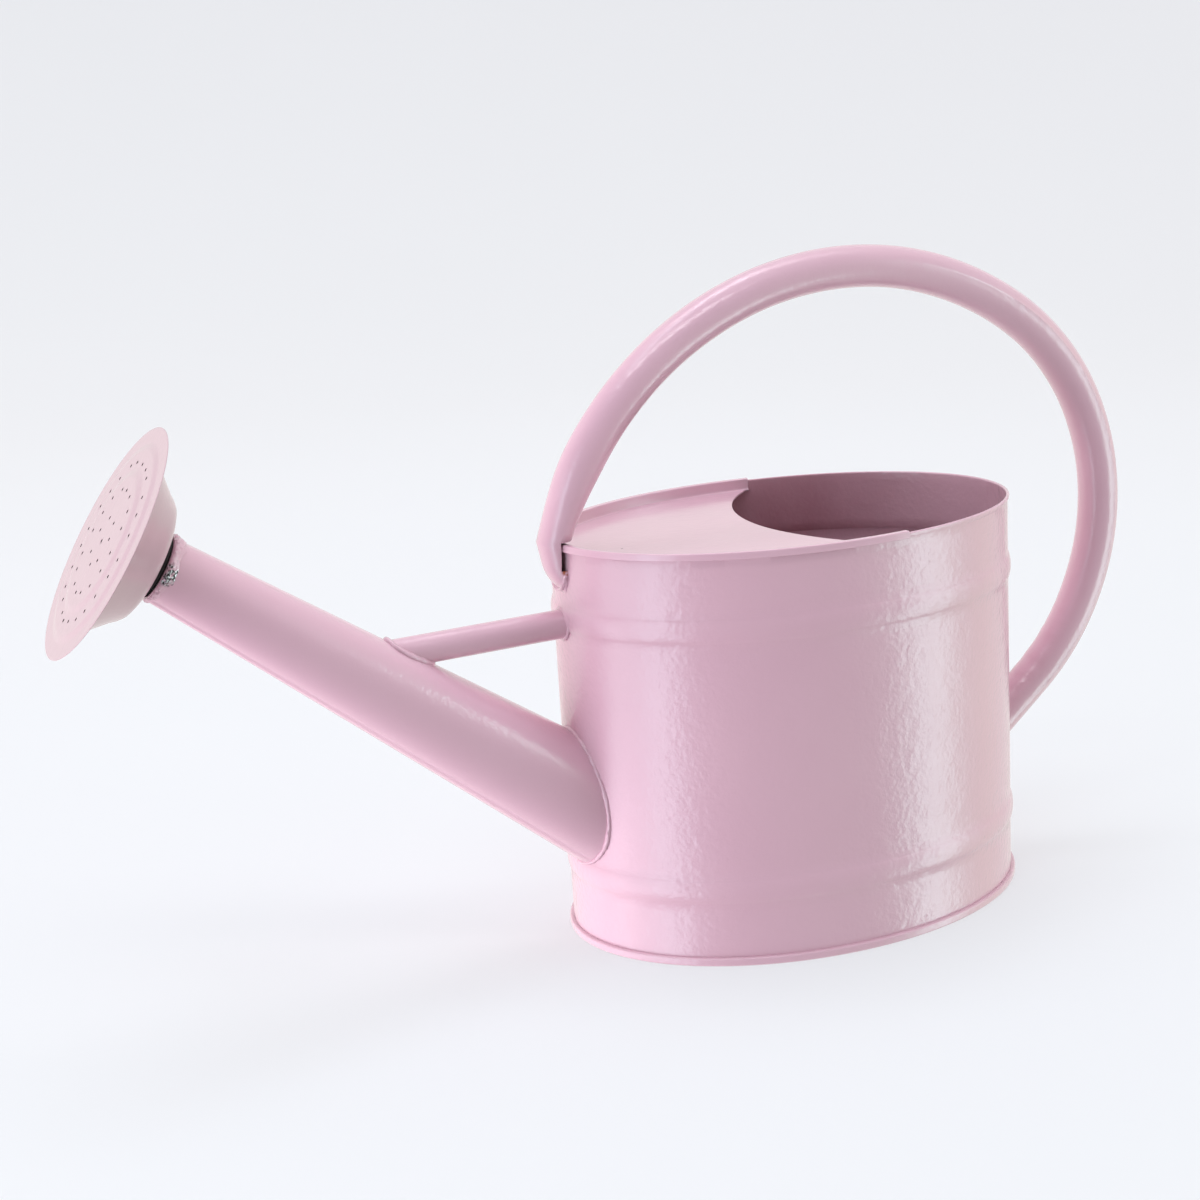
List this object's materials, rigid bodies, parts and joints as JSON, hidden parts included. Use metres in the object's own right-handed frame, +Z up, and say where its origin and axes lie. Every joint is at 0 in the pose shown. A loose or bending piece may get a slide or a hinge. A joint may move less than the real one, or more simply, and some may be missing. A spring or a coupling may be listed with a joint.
{
  "type": "watering can",
  "caption": "Oval sheet-metal watering can with a half cover, a hoop handle, a braced spout and a screw-on perforated rose.",
  "frame": {"origin": "middle of the oval body's base, on the ground it stands on", "axes": "+Z up, -X along the spout towards the rose, +X towards the handle's rear, Y across the can"},
  "size_m": [0.5022, 0.1536, 0.295],
  "materials": {
    "pink_paint": "satin pale pink powder coat on sheet steel",
    "rose_paint": "satin pale pink powder coat, a little paler",
    "painted_weld": "lumpy weld bead under pink powder coat",
    "zinc_thread": "zinc-plated turned steel",
    "black_rubber": "matt black rubber washer"
  },
  "bodies": {
    "root": {"body_wall": "pink_paint", "base_pan": "pink_paint", "top_cover": "pink_paint", "spout_tube": "pink_paint", "brace_tube": "pink_paint", "handle_tube": "pink_paint", "spout_base_weld": "painted_weld", "brace_body_weld": "painted_weld", "brace_spout_weld": "painted_weld", "nozzle_weld": "painted_weld", "handle_front_weld": "painted_weld", "handle_rear_weld": "painted_weld", "spout_ferrule": "zinc_thread"},
    "washer": {"rose_washer": "black_rubber"},
    "rose": {"rose_socket": "zinc_thread", "rose_shell": "rose_paint", "rose_face": "rose_paint"}
  },
  "joints": [
    {"name": "rose_travel", "type": "slide", "parent": "root", "child": "washer", "axis": [-0.8377, 0, 0.5461], "range_m": [0, 0.0081]},
    {"name": "rose_turn", "type": "hinge", "parent": "washer", "child": "rose", "pos_m": [-0.2766, 0, 0.1956], "axis": [-0.8377, 0, 0.5461], "range_deg": [0, 1440]}
  ],
  "couplings": [
    {"joint": "rose_travel", "follows": "rose_turn", "m_per_rad": 0.00031831}
  ]
}
